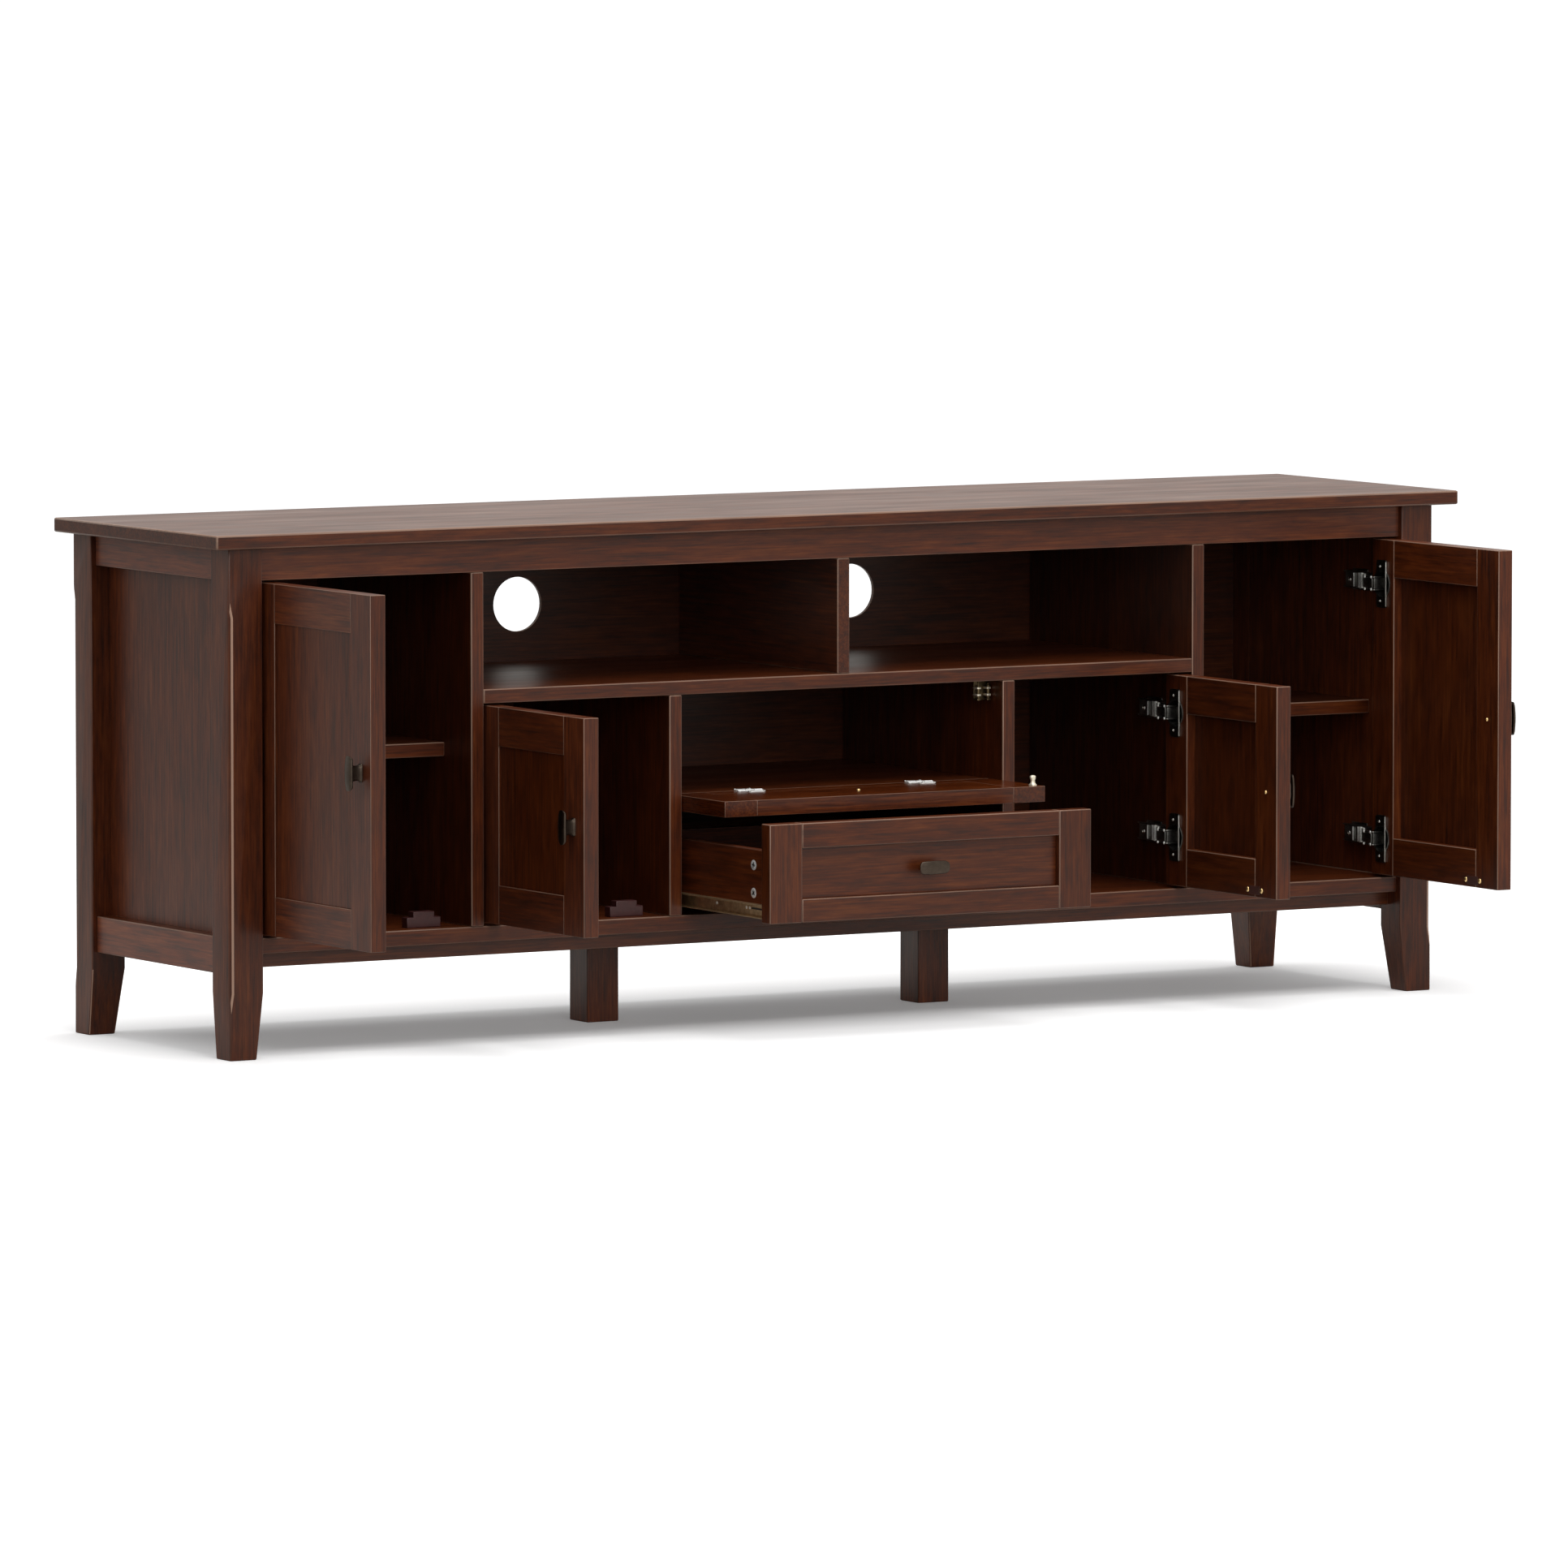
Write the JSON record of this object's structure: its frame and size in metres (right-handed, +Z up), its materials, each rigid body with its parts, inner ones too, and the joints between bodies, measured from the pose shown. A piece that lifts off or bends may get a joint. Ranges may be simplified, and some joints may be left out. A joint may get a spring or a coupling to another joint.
{
  "type": "tv stand",
  "caption": "Low media cabinet in dark stained wood on tapered legs, with framed inset doors, open bays, a fall flap and a drawer, shown open.",
  "frame": {"origin": "on the floor, under the centre of the box that holds the part at rest, with its doors, flap and drawer open", "axes": "+X to the right along the front, +Y from the front to the back, +Z up"},
  "size_m": [1.829, 0.6776, 0.652],
  "materials": {
    "stained_wood": "satin lacquer over a dark red-brown stain",
    "inside_wood": "satin, darker stain",
    "knob_bronze": "oil-rubbed bronze",
    "hinge_nickel": "black nickel",
    "brass": "plain brass",
    "bright_steel": "bright",
    "runner_metal": "antique brass coat",
    "catch_plastic": "dark red-brown"
  },
  "bodies": {
    "carcass": {"top_slab": "stained_wood", "front_left_leg": "stained_wood", "front_right_leg": "stained_wood", "back_left_leg": "stained_wood", "back_right_leg": "stained_wood", "middle_left_leg": "stained_wood", "middle_right_leg": "stained_wood", "front_apron": "stained_wood", "base_rails": "inside_wood", "left_side_rails": "stained_wood", "right_side_rails": "stained_wood", "left_side_panel": "stained_wood", "right_side_panel": "stained_wood", "floor_panel": "stained_wood", "left_divider": "stained_wood", "right_divider": "stained_wood", "upper_divider": "stained_wood", "lower_dividers": "stained_wood", "middle_shelf": "stained_wood", "drawer_cover_board": "stained_wood", "bay_shelves": "stained_wood", "back_panel": "inside_wood", "door_catches": "catch_plastic", "hinge_arms": "hinge_nickel", "roller_catch": "brass", "drawer_tracks": "runner_metal", "flap_hinge_plates": "bright_steel"},
    "left_tall_door": {"left_tall_frame": "stained_wood", "left_tall_panel": "stained_wood", "left_tall_knob": "knob_bronze", "left_tall_cups": "hinge_nickel", "left_tall_screws": "brass"},
    "left_small_door": {"left_small_frame": "stained_wood", "left_small_panel": "stained_wood", "left_small_knob": "knob_bronze", "left_small_cups": "hinge_nickel", "left_small_screws": "brass"},
    "right_small_door": {"right_small_frame": "stained_wood", "right_small_panel": "stained_wood", "right_small_knob": "knob_bronze", "right_small_cups": "hinge_nickel", "right_small_screws": "brass"},
    "right_tall_door": {"right_tall_frame": "stained_wood", "right_tall_panel": "stained_wood", "right_tall_knob": "knob_bronze", "right_tall_cups": "hinge_nickel", "right_tall_screws": "brass"},
    "flap": {"flap_frame": "stained_wood", "flap_panel": "stained_wood", "flap_knob": "knob_bronze", "flap_hinge_leaves": "bright_steel", "flap_strike": "brass"},
    "drawer": {"drawer_front_frame": "stained_wood", "drawer_front_panel": "stained_wood", "drawer_knob": "knob_bronze", "drawer_sides": "inside_wood", "drawer_back": "inside_wood", "drawer_bottom": "inside_wood", "drawer_cam_locks": "bright_steel", "drawer_runners": "runner_metal"}
  },
  "joints": [
    {"name": "left_tall_hinge", "type": "hinge", "parent": "carcass", "child": "left_tall_door", "pos_m": [-0.826, -0.05625, 0.372], "axis": [0, 0, 1], "range_deg": [-5, 90]},
    {"name": "left_small_hinge", "type": "hinge", "parent": "carcass", "child": "left_small_door", "pos_m": [-0.509, -0.05625, 0.29], "axis": [0, 0, 1], "range_deg": [-5, 90]},
    {"name": "right_small_hinge", "type": "hinge", "parent": "carcass", "child": "right_small_door", "pos_m": [0.509, -0.05625, 0.29], "axis": [0, 0, 1], "range_deg": [-90, 5]},
    {"name": "right_tall_hinge", "type": "hinge", "parent": "carcass", "child": "right_tall_door", "pos_m": [0.826, -0.05625, 0.372], "axis": [0, 0, 1], "range_deg": [-90, 5]},
    {"name": "flap_hinge", "type": "hinge", "parent": "carcass", "child": "flap", "pos_m": [0, -0.04525, 0.3012], "axis": [-1, 0, 0], "range_deg": [0, 90]},
    {"name": "drawer_slide", "type": "slide", "parent": "carcass", "child": "drawer", "axis": [0, 1, 0], "range_m": [0, 0.216]}
  ]
}
